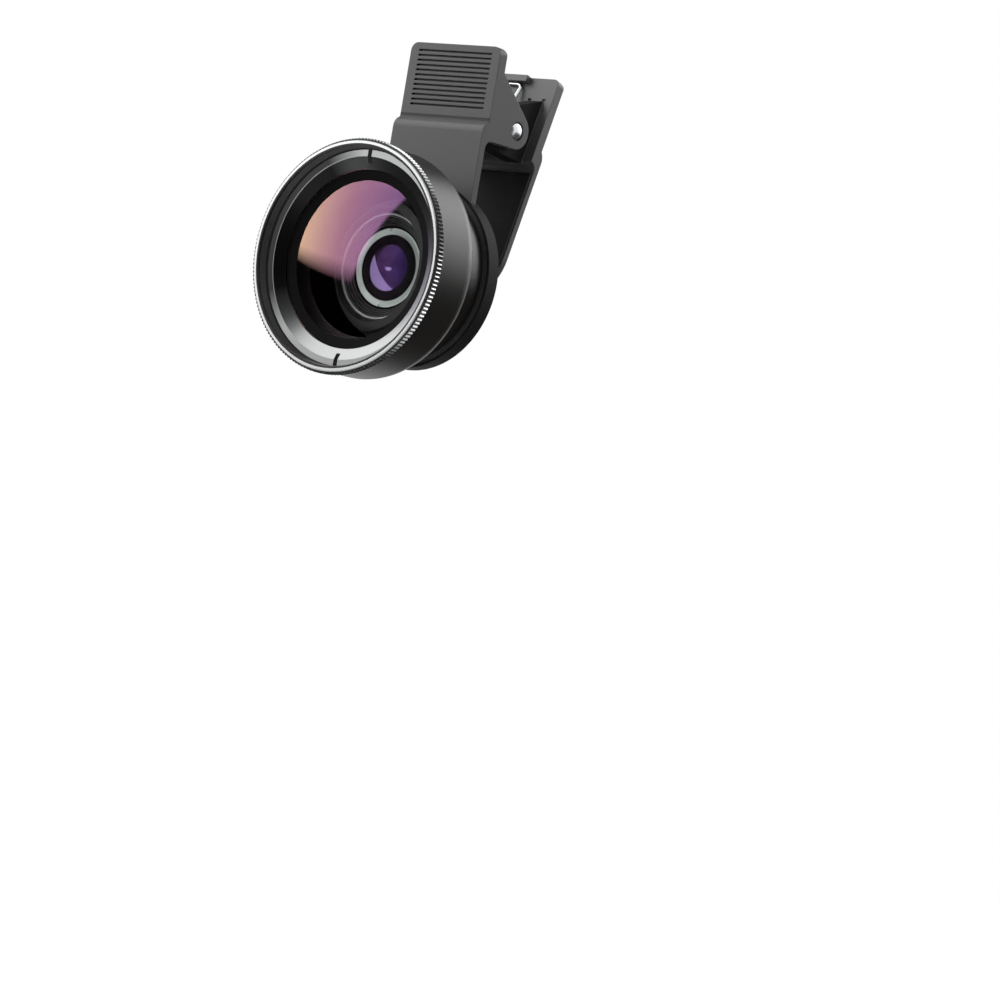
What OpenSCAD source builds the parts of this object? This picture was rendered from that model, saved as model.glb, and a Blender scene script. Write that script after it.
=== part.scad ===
// Clip-on lens: a spring clip that holds a macro lens and a wide-angle lens in front of a camera.
// Millimetres. X runs across the clip, Y runs away from the front glass, Z runs up.
// The origin is on the optical axis, in the plane of the soft ring that rests on the camera's back.

/* [Wide lens] */
// Radius of the wide barrel
barrel_r = 25.35; // [21:0.05:31]
// How far the rim's teeth stand out over the barrel
rim_out = 0.65; // [0.5:0.05:1.2]
// Distance of the rim's front face from the origin plane
rim_front = 28.2; // [27.8:0.1:34]
// Width of the knurled rim
rim_w = 2.1; // [1.6:0.1:2.4]
// Number of teeth round the rim
rim_teeth = 180; // [60:2:200]
// Depth of the teeth
tooth_d = 0.4; // [0.2:0.05:0.5]
// Wall of the barrel round the filter thread
filter_wall = 1.15; // [0.9:0.05:1.5]
// Distance of the wide barrel's rear face from the origin plane
barrel_back = 12.35; // [12.2:0.05:12.6]
// Radius of the round shoulder at the back of the wide barrel
shoulder_r = 4.7; // [3:0.1:5]
// Depth of the front retaining ring's flat face below the rim
ring_sunk = 3.05; // [2.6:0.05:3.4]
// Width of that ring's flat face
ring_flat_w = 1.85; // [1.4:0.05:2.6]
// Width of the bevel inside that face
ring_bevel_w = 2.55; // [2:0.05:3]
// Width of the spanner slots
slot_w = 1.05; // [0.6:0.05:2]
// Wall of the barrel round the front glass
glass_wall = 3.95; // [3.4:0.05:4.8]
// Curve radius of the front glass outside
front_curve = 58; // [54:1:80]
// Width of the flat back face of the front glass, round its hollow
glass_flat_w = 5.8; // [5.4:0.1:6.4]
// Thickness of the front glass at its middle
front_glass_t = 1.9; // [1.6:0.1:2.6]
// Width of the ledge that the barrel's web leaves inside that face
web_ledge = 1.7; // [1.4:0.1:2.2]
// Width of the baffle's slope, from the web's bore to its sharp edge
baffle_slope_w = 1.1; // [0.9:0.1:1.6]
// Width of the steps inside the baffle's edge
baffle_steps_w = 2.4; // [2:0.1:3]
// Width of the bevelled ring that keeps the rear glasses, with the stop under it
bezel_w = 2.7; // [2.4:0.1:3.2]
// Thickness of the crown glass at its edge
crown_edge = 0.41; // [0.3:0.05:0.8]
// Thickness of the flint glass at its middle
flint_t = 0.7; // [0.6:0.1:0.9]

/* [Macro lens] */
// How far the macro lens's grip band stands out over the thread between the lenses
band_out = 1.8; // [1.5:0.1:2.4]
// Distance of the band's rear face from the origin plane
macro_back = 3.95; // [3.85:0.05:4.2]
// Width of the web between the rear cell and the thread between the lenses
web_w = 3.6; // [3.2:0.1:4]
// Length of the thread between the two lenses
joint_len = 2.3; // [1.5:0.1:2.4]
// Wall of the macro barrel's front spigot
spigot_wall = 2.3; // [1.8:0.1:2.6]
// Width of the ring that keeps the macro glass
macro_ring_w = 2.2; // [1.8:0.1:2.8]
// How far each side of the macro glass bulges
macro_bulge = 1.875; // [1.2:0.025:1.9]
// Thickness of its edge
macro_edge = 1; // [0.8:0.1:1.1]

/* [Clip] */
// Width of both arms
arm_w = 25.4; // [22:0.2:30]
// Height of the hinge pin over the soft ring
pin_up = 14.3; // [12.5:0.1:18]
// Distance of the hinge pin behind the origin plane
pin_y = 8.3; // [7.8:0.1:9]
// Radius of the hinge pin
pin_r = 1.85; // [1.4:0.05:2]
// How far the domed ends of the pin stand out of the ears
pin_out = 0.5; // [0:0.1:0.8]
// Height of the front arm's top over the pin
grip_up = 16.9; // [15:0.1:20]
// Thickness of the front grip
grip_t = 2.5; // [2:0.1:2.8]
// Distance of the front grip's face before the origin plane
grip_front = 2; // [1.6:0.1:2.4]
// Distance of the lower plate's face before the origin plane
plate_front = 3.85; // [3.6:0.05:4.2]
// Thickness of the lower plate
plate_t = 1.8; // [1.4:0.1:2]
// Height over the pin at which the front arm steps forward
step_up = 0.4; // [0:0.1:0.9]
// Number of grooves in the front grip
groove_n = 12; // [4:1:12]
// Distance between grooves
groove_pitch = 1.1; // [0.9:0.02:1.14]
// Width of a groove
groove_w = 0.45; // [0.3:0.05:0.6]
// Depth of a groove
groove_d = 0.5; // [0.2:0.05:0.8]
// Thickness of the ears of the front arm
ear_t = 2; // [1.5:0.1:2.2]
// Radius of the ears round the pin
ear_r = 3.95; // [3.4:0.05:4.3]
// How far the macro lens's grip band stands out over the clip's thread
band_step = 1.05; // [0.8:0.05:1.4]
// Wall of the threaded ring with its soft sleeve
ring_wall = 2.55; // [2.2:0.05:3.2]
// Width of the soft ring inside the thread, round the camera
aperture_w = 4.75; // [4.2:0.05:7]

/* [Rear arm] */
// Tilt of the rear arm with the jaw open on a slab about 7 mm thick
arm_tilt = 15.5; // [10:0.5:24]
// Distance of the rear grip's inner face from the pin's axis
grip_off = 7.8; // [7.4:0.1:9]
// Thickness of the rear grip
rear_t = 2.35; // [2:0.05:3]
// Height of the rear grip over the pin's axis
rear_top = 16.8; // [16:0.1:20]
// Distance of the jaw's inner face from the pin's axis
jaw_off = 9.85; // [9.4:0.05:10.8]
// Thickness of the jaw
jaw_t = 1.45; // [1.2:0.05:2]
// Length of the jaw below the pin's axis
jaw_len = 38.7; // [34:0.1:44]
// Thickness of the soft jaw pad
jaw_pad_t = 0.8; // [0.5:0.1:1.4]
// Gap between an ear and the cheek that turns inside it
cheek_gap = 0.5; // [0.3:0.05:1]
// Thickness of a cheek
cheek_t = 4; // [2:0.1:4.2]
// Radius of the cheeks round the pin
cheek_r = 5.4; // [4.6:0.1:5.8]
// How far the hook over the spring stands out on each side of the spring's loop
hook_out = 1.45; // [1:0.05:2]
// Height and depth of the hook
hook_s = 1.5; // [1.2:0.1:2]

/* [Spring] */
// Radius of the spring wire
wire_r = 0.42; // [0.3:0.02:0.5]
// Radius of a coil, to the middle of the wire
coil_r = 3.4; // [2.9:0.05:3.8]
// Whole turns in each coil
coil_turns = 2; // [1:1:2]
// Distance from a cheek to the loop that presses on the rear arm
bail_in = 3.05; // [2.9:0.05:3.6]

/* [Hidden] */
$fn = 96;

// Colours of the finishes
grey_plastic = [0.36, 0.36, 0.37];
black_rubber = [0.07, 0.07, 0.07];
black_metal = [0.10, 0.09, 0.09];
bright_metal = [0.86, 0.87, 0.88];
satin_metal = [0.55, 0.57, 0.57];
clear_glass = [0.62, 0.55, 0.72, 0.6];

// Clearances between pieces
fit = 0.05;      // screwed or dropped in
run = 0.05;      // pin in a bore, radial
seat = 0.1;      // face against face
cut = 1;         // how far a cutter runs past a face
lap = 0.1;       // how far a joined or turned shape runs into its neighbour

// Small bevels on the edges of turned parts
fine = 0.15;
small = 0.2;
wide = 0.4;

// Wide lens, measured forward from the origin plane
rim_r = barrel_r + rim_out;
filter_r = barrel_r - filter_wall;
ring_flat_r = filter_r - ring_flat_w;
ring_in_r = ring_flat_r - ring_bevel_w;
front_glass_r = barrel_r - glass_wall;
hollow_r = front_glass_r - glass_flat_w;
web_bore_r = hollow_r - web_ledge;
baffle_r = web_bore_r - baffle_slope_w;
bezel_r = baffle_r - baffle_steps_w;
rear_glass_r = bezel_r - bezel_w;
rim_back = rim_front - rim_w;
rim_wall = 0.5;
rim_bevel = 0.35;
ring_front = rim_front - ring_sunk;
ring_t = 1.8;
ring_bevel_d = 1.25;
ring_back = ring_front - ring_t;
thread_step = 0.35;
ring_thread_r = filter_r - thread_step;
thread_end = ring_front + lap;
slot_d = 1;
slot_in = 1.2;
slot_in_r = ring_in_r + slot_in;
seat_ring_t = 0.6;
seat_lip_t = 0.12;
seat_ring_w = 2.3;
seat_ring_r = ring_in_r - seat_ring_w;
front_apex = ring_back - seat_ring_t - seat + sag(front_curve, seat_ring_r);
web_d = 3.85;
glass_seat = barrel_back + web_d;
hollow_d = front_apex - front_glass_t - glass_seat - fit;
hollow_curve = (hollow_r * hollow_r + hollow_d * hollow_d) / (2 * hollow_d);
web_t = 1.2;
web_back = glass_seat - web_t;
cell_r = web_bore_r - fit;
cell_wall = 1.2;
cell_body_r = bezel_r + cell_wall;
cell_d = 6.15;
cell_back = barrel_back - cell_d;
cell_lip = 0.6;
crown_curve = 60;
cement_curve = 50;
flint_edge = flint_t + sag(cement_curve, rear_glass_r);
flint_back = cell_back + cell_lip + fit;
cement_z = flint_back + flint_t;
crown_rim = flint_back + flint_edge + crown_edge;
crown_front = crown_rim + sag(crown_curve, rear_glass_r);
cement = 0.01;
spacer_t = 0.5;
stop_w = 1.5;
spacer_in = rear_glass_r - stop_w;
bezel_back = crown_rim + spacer_t;
bezel_step = 0.8;
bezel_front = bezel_back + bezel_step + small;
bezel_slot = [0.7, 0.5];
bezel_slope = 1.6;
bezel_in = bezel_r - bezel_slope;
baffle_back = bezel_front + fine;
baffle_d = 1.65;
baffle_lip = barrel_back + baffle_d;
baffle_t = 0.7;
baffle_front = glass_seat + baffle_t;
baffle_rim = 1;
baffle_steps = 4;
funnel_t = 0.5;
funnel_r = web_bore_r - funnel_t;
flange_t = 1.2;
flange_back = baffle_back - flange_t;

// Macro lens
joint_r = web_bore_r + web_w;
macro_r = joint_r + band_out;
clip_thread_r = macro_r - band_step;
macro_front = barrel_back - fit;
spigot_end = macro_front + joint_len;
macro_thread_r = clip_thread_r - fit;
macro_thread_end = 1.5;
macro_seat = 3.3;
macro_bore_r = joint_r - spigot_wall;
macro_glass_r = macro_bore_r - macro_ring_w;
macro_lip_w = 0.8;
macro_lip_r = macro_glass_r - macro_lip_w;
macro_curve = (macro_glass_r * macro_glass_r + macro_bulge * macro_bulge) / (2 * macro_bulge);
lip_drop = macro_bulge - sag(macro_curve, macro_lip_r);
macro_lip_t = 1.4;
macro_ring_t = 1.45;
macro_wall = 2.2;
macro_slot = [1.2, 0.8];
flange_r = macro_bore_r - wide;

// Front arm
pad_r = clip_thread_r + ring_wall;
aperture_r = clip_thread_r - aperture_w;
pin_z = pad_r + pin_up;
front_top = pin_z + grip_up;
step_z = pin_z + step_up;
half_w = arm_w / 2;
grip_back = grip_front - grip_t;
plate_back = plate_front - plate_t;
top_round = 1.9;
edge_round = 1.3;
inner_bend = 0.7;
outer_bend = 2.4;
back_bend = 3;
back_rise = 3.2;
step_turn = acos(1 - (plate_front - grip_front) / (inner_bend + outer_bend));
back_step = -grip_back + plate_back;
back_turn = acos(1 - back_step / (2 * back_bend));
ear_low = pin_z - ear_r;
ear_web = 11.5;
ear_slope_top = [-grip_back, pin_z + ear_web];
ear_fillet = 2;
ear_in = half_w - ear_t;
head_gap = 0.25;
head_r = pin_r + head_gap;
head_d = 0.6;
groove_side = 2.3;
groove_half = half_w - groove_side;
groove_down = 1.75;
groove_top = front_top - groove_down;
arm_arc_r = pad_r + small;
sleeve_t = 0.6;
core_r = pad_r - sleeve_t;
core_front = 3.25;
core_floor = 1.3;
core_back = 0.6;
sleeve_lip = 0.7;
core_hole_r = aperture_r + sleeve_lip;
neck_back = plate_back;
neck_front = 3.2;
neck_lap = 1.5;
neck_root = 0.5;
sleeve_over = 0.42;
sleeve_front = core_front + sleeve_over;
pad_slot_z = 10;

// Rear arm, in its own frame: y away from the pin's axis, z up along the arm
cheek_out = ear_in - cheek_gap;
cheek_in = cheek_out - cheek_t;
bail_x = cheek_in - bail_in;
hook_x = bail_x + hook_out;
bulge_r = 3;
bulge_z = -2.4;
jaw_back = jaw_off + jaw_t;
shoulder_z = -3.4;
jaw_round = 1.8;
jaw_turn = acos(1 - (jaw_off - grip_off) / jaw_round);
jaw_top = shoulder_z - jaw_round * sin(jaw_turn);
rear_round = 1.5;
cheek_top = [grip_off, 11.3];
cheek_foot = 0.6;
cheek_low = [grip_off + rear_t / 3, shoulder_z - cheek_foot];
notch = [0.9, 0.5, 0.5];
pad_inset = 0.15;
pad_corner = 0.5;
pad_down = 0.3;
pad_top = jaw_top - pad_down;

// Spring
turn_steps = 20;
bail_y = grip_off - wire_r - fit;
bail_z = rear_top - hook_s - wire_r - fit;
bail_round = 1.2;
leg_end = [-pin_y - grip_back + wire_r + fit, ear_web];
wire_gap = 0.12;
coil_gap = 2 * wire_r + wire_gap;

// How far a sphere of radius c falls away at a distance d from its top
function sag(c, d) = c - sqrt(c * c - d * d);
// Points along an arc round c, from angle a to angle b
function arc(c, r, a, b, n = 8) =
    [for (i = [0:n]) c + r * [cos(a + (b - a) * i / n), sin(a + (b - a) * i / n)]];
// Angle at which a line from p touches a circle of radius r round the origin, side is 1 or -1
function touch(p, r, side) = atan2(p[1], p[0]) + side * acos(r / norm(p));
function unit(v) = v / norm(v);
// A point of the rear arm's own frame, turned to its tilt and put at the pin
function on_rear(p) = [p[0],
    pin_y + p[1] * cos(arm_tilt) + p[2] * sin(arm_tilt),
    pin_z - p[1] * sin(arm_tilt) + p[2] * cos(arm_tilt)];
function on_pin(p) = [p[0], pin_y + p[1], pin_z + p[2]];

// Turned parts: an outline of [radius, distance forward] points, turned about the optical axis
module turned(points, n = 180) {
    rotate([90, 0, 0])
        rotate_extrude($fn = n)
            polygon(points);
}
// A round cutter or disc about the optical axis, between two distances forward
module round_bar(r, back, front, n = 180) {
    rotate([90, 0, 0])
        translate([0, 0, back])
            cylinder(h = front - back, r = r, $fn = n);
}
// A ball on the optical axis, its middle at a distance forward
module ball(r, middle) {
    translate([0, -middle, 0])
        rotate([90, 0, 0])
            sphere(r = r, $fn = 360);
}
// Extrudes a side outline of [y, z] points across X, from x0 to x1
module across(x0, x1) {
    translate([x0, 0, 0])
        rotate([90, 0, 90])
            linear_extrude(x1 - x0)
                children();
}
// Front outline of a plate: w wide, z0 to z1 high, its two upper corners round
module tab_outline(w, z0, z1, r) {
    polygon(concat(
        [[-w, z0], [w, z0]],
        arc([w - r, z1 - r], r, 0, 90),
        arc([-w + r, z1 - r], r, 90, 180)));
}
// Extrudes a front outline of [x, z] points along Y
module through(y0, y1) {
    translate([0, y1, 0])
        rotate([90, 0, 0])
            linear_extrude(y1 - y0)
                children();
}
// Two spanner slots in the front face of a retaining ring
module spanner_slots(in_r, out_r, front, depth) {
    for (side = [0, 180])
        rotate([0, side, 0])
            translate([-slot_w / 2, -front - cut, in_r])
                cube([slot_w, depth + cut, out_r - in_r]);
}
// A tube swept round a list of points
function tangents(p) = [for (i = [0:len(p) - 1])
    unit(p[min(i + 1, len(p) - 1)] - p[max(i - 1, 0)])];
function carried(t, u, i = 0, out = []) = i == len(t) ? out :
    let (w = unit(u - (u * t[i]) * t[i])) carried(t, w, i + 1, concat(out, [w]));
module sweep(path, r, start, sides = 8) {
    t = tangents(path);
    u = carried(t, start);
    last = len(path) - 1;
    points = [for (i = [0:last]) for (k = [0:sides - 1])
        path[i] + r * (cos(360 * k / sides) * u[i] + sin(360 * k / sides) * cross(t[i], u[i]))];
    skin = [for (i = [0:last - 1]) for (k = [0:sides - 1])
        let (m = (k + 1) % sides, a = i * sides, b = a + sides) [a + k, b + k, b + m, a + m]];
    ends = [[for (k = [0:sides - 1]) k], [for (k = [sides - 1:-1:0]) last * sides + k]];
    polyhedron(points = points, faces = concat(skin, ends), convexity = 6);
}

// Side outline of the front arm's sheet: a grip that steps forward into the lower plate
module front_sheet() {
    low = sqrt(pow(arm_arc_r, 2) - pow(half_w, 2)) - cut;
    polygon(concat(
        [[-plate_back, low], [-plate_front, low]],
        arc([-plate_front + outer_bend, step_z - (inner_bend + outer_bend) * sin(step_turn)],
            outer_bend, 180, 180 - step_turn),
        arc([-grip_front - inner_bend, step_z], inner_bend, -step_turn, 0),
        [[-grip_front, front_top]],
        arc([-grip_back - edge_round, front_top - edge_round], edge_round, 90, 0),
        arc([-grip_back - back_bend, ear_low + back_rise], back_bend, 0, -back_turn),
        arc([-plate_back + back_bend, ear_low + back_rise - 2 * back_bend * sin(back_turn)],
            back_bend, 180 - back_turn, 180)));
}
// Side outline of an ear: a web behind the grip that narrows to a round eye at the pin
module ear_outline() {
    p = [pin_y, pin_z];
    a = touch(ear_slope_top - p, ear_r, -1);
    polygon(concat(
        [[-plate_back, ear_low - ear_fillet], [-grip_front, step_z - 1], ear_slope_top],
        arc(p, ear_r, a, -90, 24),
        arc([-plate_back + ear_fillet, ear_low - ear_fillet], ear_fillet, 90, 180)));
}
module front_arm() {
    color(grey_plastic)
        difference() {
            union() {
                difference() {
                    intersection() {
                        across(-half_w, half_w) front_sheet();
                        through(-plate_front - cut, cut)
                            tab_outline(half_w, 0, front_top, top_round);
                    }
                    round_bar(arm_arc_r, -cut, plate_front + cut);
                }
                across(-half_w, -ear_in) ear_outline();
                across(ear_in, half_w) ear_outline();
                neck();
                clip_ring();
            }
            for (i = [0:groove_n - 1])
                groove(groove_top - i * groove_pitch);
            translate([-half_w - cut, pin_y, pin_z])
                rotate([0, 90, 0])
                    cylinder(h = arm_w + 2 * cut, r = pin_r + run);
            for (side = [-1, 1])
                translate([side * (half_w + cut / 2 - head_d / 2), pin_y, pin_z])
                    rotate([0, 90, 0])
                        cylinder(h = cut + head_d, r = head_r, center = true);
        }
}
// A straight groove with round ends across the grip
module groove(z) {
    translate([0, -grip_front - cut, z])
        rotate([-90, 0, 0]) {
            translate([-groove_half + groove_w / 2, -groove_w / 2, 0])
                cube([2 * groove_half - groove_w, groove_w, cut + groove_d]);
            for (side = [-1, 1])
                translate([side * (groove_half - groove_w / 2), 0, 0])
                    cylinder(h = cut + groove_d, r = groove_w / 2, $fn = 24);
        }
}
// The threaded ring at the foot of the front arm
module clip_ring() {
    turned([[core_hole_r, core_back], [core_r, core_back], [core_r, core_front],
        [clip_thread_r, core_front], [clip_thread_r, core_floor], [core_hole_r, core_floor]]);
}
// The neck that joins the lower plate to the threaded ring, under the soft ring's lip
module neck() {
    difference() {
        intersection() {
            translate([-half_w + seat, -neck_front, 0])
                cube([arm_w - 2 * seat, neck_front - neck_back, arm_arc_r + neck_lap]);
            round_bar(arm_arc_r + neck_lap, 0, neck_front + cut);
        }
        round_bar(core_r - neck_root, -cut, neck_front + 2 * cut);
    }
}
// Soft sleeve over the threaded ring; its flat back rests on the camera side
module ring_pad() {
    color(black_rubber)
        difference() {
            turned([[aperture_r, 0], [pad_r - small, 0], [pad_r, small],
                [pad_r, sleeve_front - fine], [pad_r - fine, sleeve_front],
                [core_r + fit, sleeve_front],
                [core_r + fit, core_back - fit], [aperture_r, core_back - fit]]);
            translate([-half_w, -neck_front - fit, pad_slot_z])
                cube([arm_w, neck_front - neck_back + 2 * fit, pad_r]);
        }
}
module hinge_pin() {
    dome = pin_out + small;
    tip = half_w + pin_out;
    dome_r = (pin_r * pin_r + dome * dome) / (2 * dome);
    end = asin(pin_r / dome_r);
    color(bright_metal)
        translate([0, pin_y, pin_z])
            rotate([0, 90, 0])
                rotate_extrude()
                    polygon(concat(
                        arc([0, -tip + dome_r], dome_r, -90, -90 + end),
                        arc([0, tip - dome_r], dome_r, 90 - end, 90)));
}
// Path of the spring: middle loop, leg down, coil, leg up to the front grip, for one half
function coil_point(a, x) = on_pin([x, coil_r * cos(a), coil_r * sin(a)]);
function half_spring() =
    let (lean = atan2(bail_y, bail_z),
        far = norm([bail_y, bail_z]),
        start = 90 - lean - acos(coil_r / far),
        finish = atan2(leg_end[1], leg_end[0]) + acos(coil_r / norm(leg_end)),
        sweep_a = start - arm_tilt + 360 * coil_turns + 360 - finish,
        top = [bail_y, bail_z],
        foot = coil_r * [cos(start), sin(start)],
        down = unit(foot - top),
        steps = ceil(sweep_a / 360 * turn_steps),
        x1 = bail_x + coil_gap * sweep_a / 360)
    concat(
        [for (i = [0:5])
            let (a = 90 * i / 5, s = bail_round * (1 - cos(a)))
            on_rear([bail_x - bail_round + bail_round * sin(a),
                top[0] + down[0] * s, top[1] + down[1] * s])],
        [on_rear([bail_x, (top + (foot - top) * 0.55)[0], (top + (foot - top) * 0.55)[1]])],
        [for (i = [0:steps])
            coil_point(start - arm_tilt - sweep_a * i / steps, bail_x + (x1 - bail_x) * i / steps)],
        [on_pin([x1, leg_end[0], leg_end[1]])]);
module torsion_spring() {
    half = half_spring();
    other = [for (i = [len(half) - 1:-1:0]) [-half[i][0], half[i][1], half[i][2]]];
    color(bright_metal)
        sweep(concat(other, half), wire_r, [1, 0, 0]);
}
// Side outline of the rear arm in its own frame: grip, shoulder and jaw
module rear_outline() {
    bulge_turn = acos((grip_off + rear_t - (jaw_back - bulge_r)) / bulge_r);
    polygon(concat(
        [[grip_off, rear_top]],
        arc([grip_off + rear_t - edge_round, rear_top - edge_round], edge_round, 90, 0),
        arc([jaw_back - bulge_r, bulge_z], bulge_r, bulge_turn, 0, 12),
        [[jaw_back, -jaw_len], [jaw_off, -jaw_len]],
        arc([jaw_off - jaw_round, jaw_top], jaw_round, 0, jaw_turn)));
}
// Side outline of a cheek: a web from the grip to a round eye at the pin
module cheek_outline() {
    a = touch(cheek_top, cheek_r, 1);
    b = touch(cheek_low, cheek_r, -1);
    polygon(concat(
        [cheek_low, [cheek_low[0], cheek_top[1]], cheek_top],
        arc([0, 0], cheek_r, a, b + 360, 32)));
}
// Puts a piece drawn in the rear arm's own frame at the pin, at its tilt
module at_rear() {
    translate([0, pin_y, pin_z])
        rotate([-arm_tilt, 0, 0])
            children();
}
// Front outline of the jaw and grip, the jaw's end a half circle, inset by s
module jaw_outline(s, top, r) {
    w = half_w - s;
    middle = -jaw_len + half_w;
    polygon(concat(
        arc([0, middle], w, 180, 360, 32),
        arc([w - r, top - r], r, 0, 90),
        arc([-w + r, top - r], r, 90, 180)));
}
module rear_arm() {
    color(grey_plastic)
        at_rear()
            difference() {
                union() {
                    intersection() {
                        across(-half_w, half_w) rear_outline();
                        through(0, jaw_back + cut) jaw_outline(0, rear_top, rear_round);
                    }
                    across(-cheek_out, -cheek_in) cheek_outline();
                    across(cheek_in, cheek_out) cheek_outline();
                    translate([-hook_x, grip_off - hook_s, rear_top - hook_s])
                        cube([2 * hook_x, hook_s + rear_t / 2, hook_s]);
                }
                translate([-half_w, 0, 0])
                    rotate([0, 90, 0])
                        cylinder(h = arm_w, r = pin_r + 2 * run);
                for (x = [-cheek_out, -cheek_in, cheek_in, cheek_out])
                    translate([x - notch[0] / 2, grip_off - cut, cheek_top[1]])
                        cube([notch[0], cut + notch[1], notch[2]]);
            }
}
// Soft pad on the jaw, its upper edge rounded over
module jaw_pad() {
    color(black_rubber)
        at_rear()
            intersection() {
                through(jaw_off - jaw_pad_t, jaw_off)
                    jaw_outline(pad_inset, pad_top, pad_corner);
                across(-half_w, half_w)
                    polygon(concat(
                        [[jaw_off, -jaw_len - cut], [jaw_off - jaw_pad_t, -jaw_len - cut]],
                        arc([jaw_off, pad_top - jaw_pad_t], jaw_pad_t, 180, 90, 6)));
            }
}

module macro_barrel() {
    color(black_metal)
        turned([[macro_thread_r - macro_wall, macro_thread_end], [macro_thread_r, macro_thread_end],
            [macro_thread_r, macro_back], [macro_r - small, macro_back],
            [macro_r, macro_back + small], [macro_r, macro_front - wide],
            [macro_r - wide, macro_front], [joint_r, macro_front],
            [joint_r, spigot_end], [macro_bore_r, spigot_end],
            [macro_bore_r, macro_seat + macro_edge], [macro_glass_r + fit, macro_seat + macro_edge],
            [macro_glass_r + fit, macro_seat - fit], [macro_lip_r, macro_seat - lip_drop - fit],
            [macro_lip_r, macro_seat - macro_lip_t]]);
}
module macro_glass() {
    middle = macro_seat + macro_edge / 2;
    reach = macro_edge / 2 + macro_bulge - macro_curve;
    color(clear_glass)
        intersection() {
            round_bar(macro_glass_r, middle - macro_edge / 2 - macro_bulge - cut,
                middle + macro_edge / 2 + macro_bulge + cut);
            ball(macro_curve, middle + reach);
            ball(macro_curve, middle - reach);
        }
}
module macro_retaining_ring() {
    back = macro_seat + macro_edge + fit;
    front = back + macro_ring_t;
    color(black_metal)
        difference() {
            turned([[macro_lip_r, back + lip_drop], [macro_glass_r, back],
                [macro_bore_r - fit, back], [macro_bore_r - fit, front],
                [macro_lip_r + wide, front], [macro_lip_r, front - wide]]);
            spanner_slots(macro_bore_r - macro_slot[0], macro_bore_r + cut, front, macro_slot[1]);
        }
}

// Wide barrel: one turned part, open in front, with a web that carries the rear cell
module wide_barrel() {
    middle = [barrel_r - shoulder_r, barrel_back + shoulder_r];
    color(black_metal)
        turned(concat(
            [[joint_r + fit, barrel_back]],
            arc(middle, shoulder_r, -90, 0, 12),
            [[barrel_r, rim_back], [barrel_r - rim_wall, rim_back],
                [barrel_r - rim_wall, rim_front - rim_wall - fit],
                [filter_r, rim_front - rim_wall - fit], [filter_r, thread_end],
                [ring_thread_r, thread_end], [ring_thread_r, ring_back - seat_ring_t],
                [front_glass_r + fit, ring_back - seat_ring_t], [front_glass_r + fit, glass_seat],
                [web_bore_r, glass_seat], [web_bore_r, web_back],
                [joint_r + fit, web_back]]));
}
// Knurled rim: a bezel over the barrel's front edge, with straight teeth round it
module knurled_rim() {
    root_r = rim_r - tooth_d;
    seat_r = barrel_r - rim_wall + fit;
    color(bright_metal)
        intersection() {
            turned([[seat_r, rim_back], [root_r - lap, rim_back],
                [rim_r + lap, rim_back + rim_bevel], [rim_r + lap, rim_front - rim_bevel - small],
                [root_r - lap / 2, rim_front - rim_bevel], [root_r - rim_bevel, rim_front],
                [filter_r + fine, rim_front], [filter_r, rim_front - fine],
                [filter_r, rim_front - rim_wall], [seat_r, rim_front - rim_wall]]);
            rotate([90, 0, 0])
                translate([0, 0, rim_back - cut])
                    linear_extrude(rim_w + 2 * cut)
                        polygon([for (i = [0:2 * rim_teeth - 1])
                            (i % 2 == 0 ? rim_r : root_r)
                            * [cos(180 * i / rim_teeth), sin(180 * i / rim_teeth)]]);
        }
}
module front_retaining_ring() {
    color(satin_metal)
        difference() {
            turned([[ring_in_r, ring_back], [ring_thread_r - fit, ring_back],
                [ring_thread_r - fit, ring_front],
                [ring_flat_r, ring_front], [ring_in_r, ring_front - ring_bevel_d]]);
            spanner_slots(slot_in_r, filter_r + cut, ring_front, slot_d);
        }
}
// Black seat ring between the retaining ring and the front glass, thin towards the glass's middle
module front_seat_ring() {
    foot = ring_back - seat_ring_t + fit;
    color(black_rubber)
        turned([[seat_ring_r, foot], [ring_thread_r - fit, foot],
            [ring_thread_r - fit, ring_back - fit], [ring_in_r - seat, ring_back - fit],
            [seat_ring_r, foot + seat_lip_t]]);
}
// Front glass: a strong meniscus, bulging out in front and hollow behind
module front_glass() {
    color(clear_glass)
        difference() {
            intersection() {
                round_bar(front_glass_r, glass_seat + fit, front_apex + cut);
                ball(front_curve, front_apex - front_curve);
            }
            ball(hollow_curve, front_apex - front_glass_t - hollow_curve);
        }
}
// Stepped funnel that keeps stray light off the rear cell; its flange lies on the barrel's web
module light_baffle() {
    narrow = bezel_r + small;
    rim = web_bore_r + baffle_rim;
    step_r = (baffle_r - wide - narrow) / baffle_steps;
    step_h = (baffle_lip - small - baffle_back) / baffle_steps;
    color(black_metal)
        turned(concat(
            [[funnel_r - fit, baffle_back], [funnel_r - fit, glass_seat + fit],
                [rim, glass_seat + fit], [rim, baffle_front - small], [rim - small, baffle_front],
                [funnel_r - small, baffle_front],
                [baffle_r + fine, baffle_lip], [baffle_r, baffle_lip]],
            [for (i = [baffle_steps:-1:1]) for (k = [0, wide])
                [narrow + step_r * (i - k), baffle_back + step_h * (i - sign(k))]]));
}
// Rear cell: a stepped cup screwed into the barrel's web, with a lip behind the rear glasses
module rear_cell() {
    color(black_metal)
        turned([[rear_glass_r - cell_lip, cell_back], [cell_body_r - wide, cell_back],
            [cell_body_r, cell_back + wide], [cell_body_r, flange_back], [flange_r, flange_back],
            [flange_r, web_back - fit], [cell_r, web_back - fit], [cell_r, glass_seat],
            [funnel_r, glass_seat], [funnel_r, baffle_back - fit], [bezel_r + fit, baffle_back - fit],
            [bezel_r + fit, crown_rim], [rear_glass_r + fit, crown_rim],
            [rear_glass_r + fit, cell_back + cell_lip],
            [rear_glass_r - cell_lip, cell_back + cell_lip]]);
}
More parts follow.
